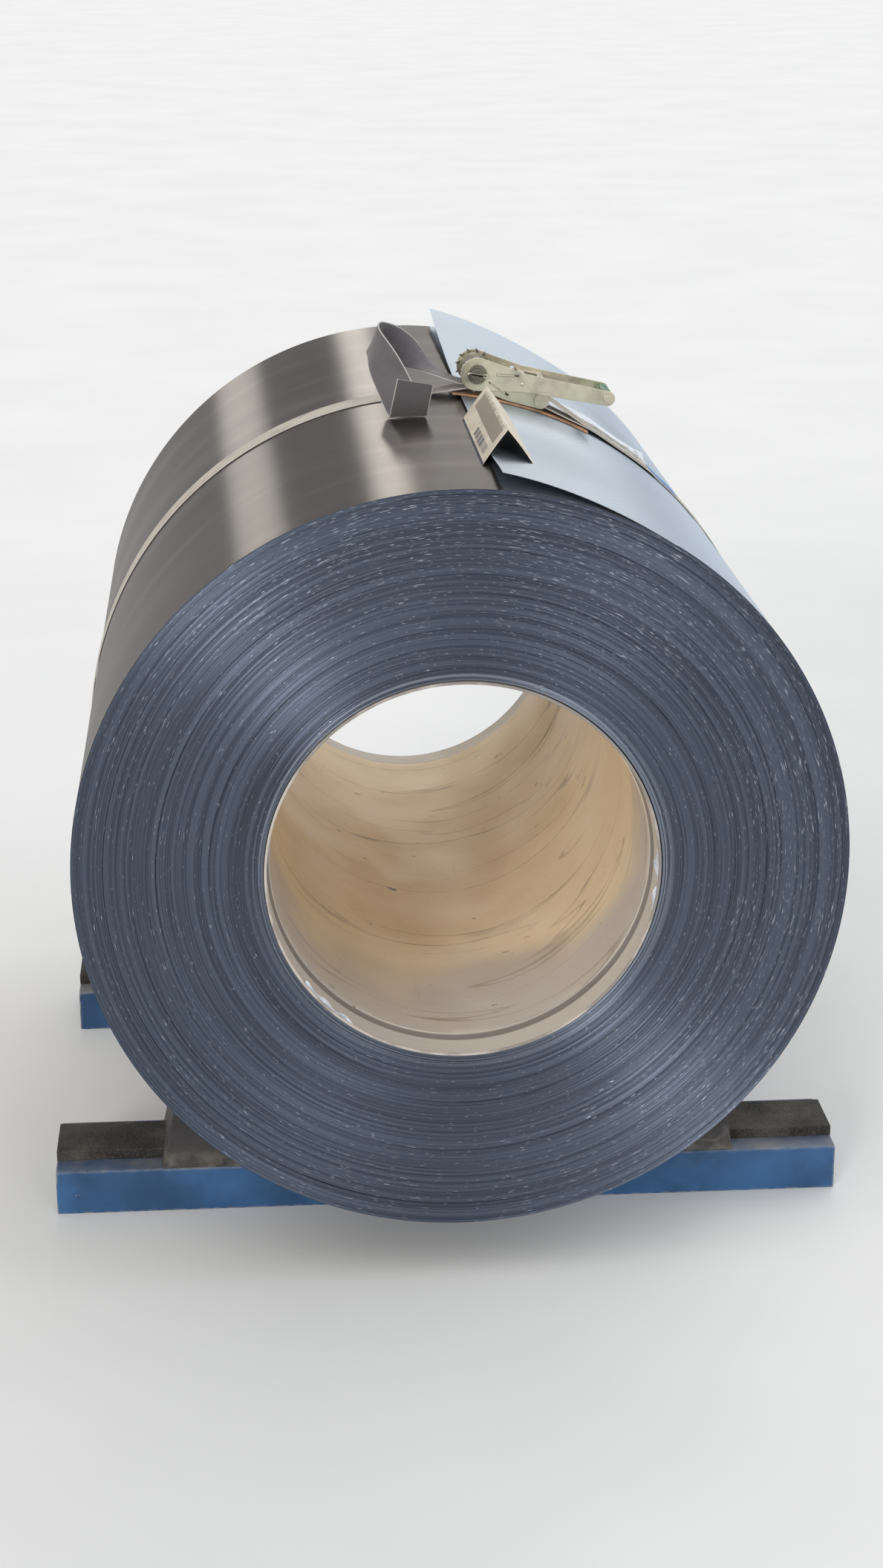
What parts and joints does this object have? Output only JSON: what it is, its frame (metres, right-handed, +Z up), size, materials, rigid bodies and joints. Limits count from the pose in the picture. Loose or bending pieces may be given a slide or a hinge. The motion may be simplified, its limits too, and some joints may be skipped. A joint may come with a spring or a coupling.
{
  "type": "steel coil",
  "caption": "Strip steel wound on a paperboard core, lashed with a ratchet strap, lying between moulded chocks on a short length of storage rack.",
  "frame": {"origin": "on the floor, under the middle of the coil", "axes": "+Y along the coil's axis, away from the face seen in the picture; +Z up; X along the rack beams"},
  "size_m": [1.1, 1.25, 1.1831],
  "materials": {
    "strip_steel": "satin dark-grey coated strip, wound edges with fine lap lines",
    "core_board": "scuffed tan paperboard with spiral seams",
    "webbing": "ribbed grey polyester webbing",
    "zinc_plate": "yellow-passivated zinc plate, lightly scratched",
    "grip_plastic": "dark green moulded roller",
    "pad_hide": "brown edge-protecting strip",
    "label_paper": "white sheet in a clear sleeve, without text",
    "tag_card": "folded grey board with plain printed bars",
    "beam_paint": "blue paint, worn and dusty",
    "slab_rubber": "rough dark-grey pressed rubber",
    "chock_plastic": "dark-grey moulded recycled plastic, dusty"
  },
  "bodies": {
    "coil_on_rack": {"steel_coil": "strip_steel", "core_tube": "core_board", "strap": "webbing", "strap_tail": "webbing", "ratchet_frame": "zinc_plate", "ratchet_wheel_near": "zinc_plate", "ratchet_wheel_far": "zinc_plate", "spindle_upper": "zinc_plate", "spindle_lower": "zinc_plate", "spindle_washer_near": "zinc_plate", "spindle_washer_far": "zinc_plate", "frame_bolt": "zinc_plate", "frame_pawl": "zinc_plate", "pad": "pad_hide", "label_sheet": "label_paper", "folded_tag": "tag_card", "beam_near": "beam_paint", "slab_near": "slab_rubber", "chock_near_left": "chock_plastic", "chock_near_right": "chock_plastic", "beam_far": "beam_paint", "slab_far": "slab_rubber", "chock_far_left": "chock_plastic", "chock_far_right": "chock_plastic"},
    "handle": {"handle": "zinc_plate", "handle_bolt": "zinc_plate", "handle_grip": "grip_plastic"},
    "handle_pawl": {"handle_pawl": "zinc_plate"}
  },
  "joints": [
    {"name": "handle_swing", "type": "hinge", "parent": "coil_on_rack", "child": "handle", "pos_m": [0.06671, 0, 1.10882], "axis": [0, -1, 0], "range_deg": [0, 130]},
    {"name": "pawl_slide", "type": "slide", "parent": "handle", "child": "handle_pawl", "axis": [0.9983, 0, -0.0583], "range_m": [0, 0.005], "stiffness_N_per_m": 300, "springref_m": -0.02}
  ]
}
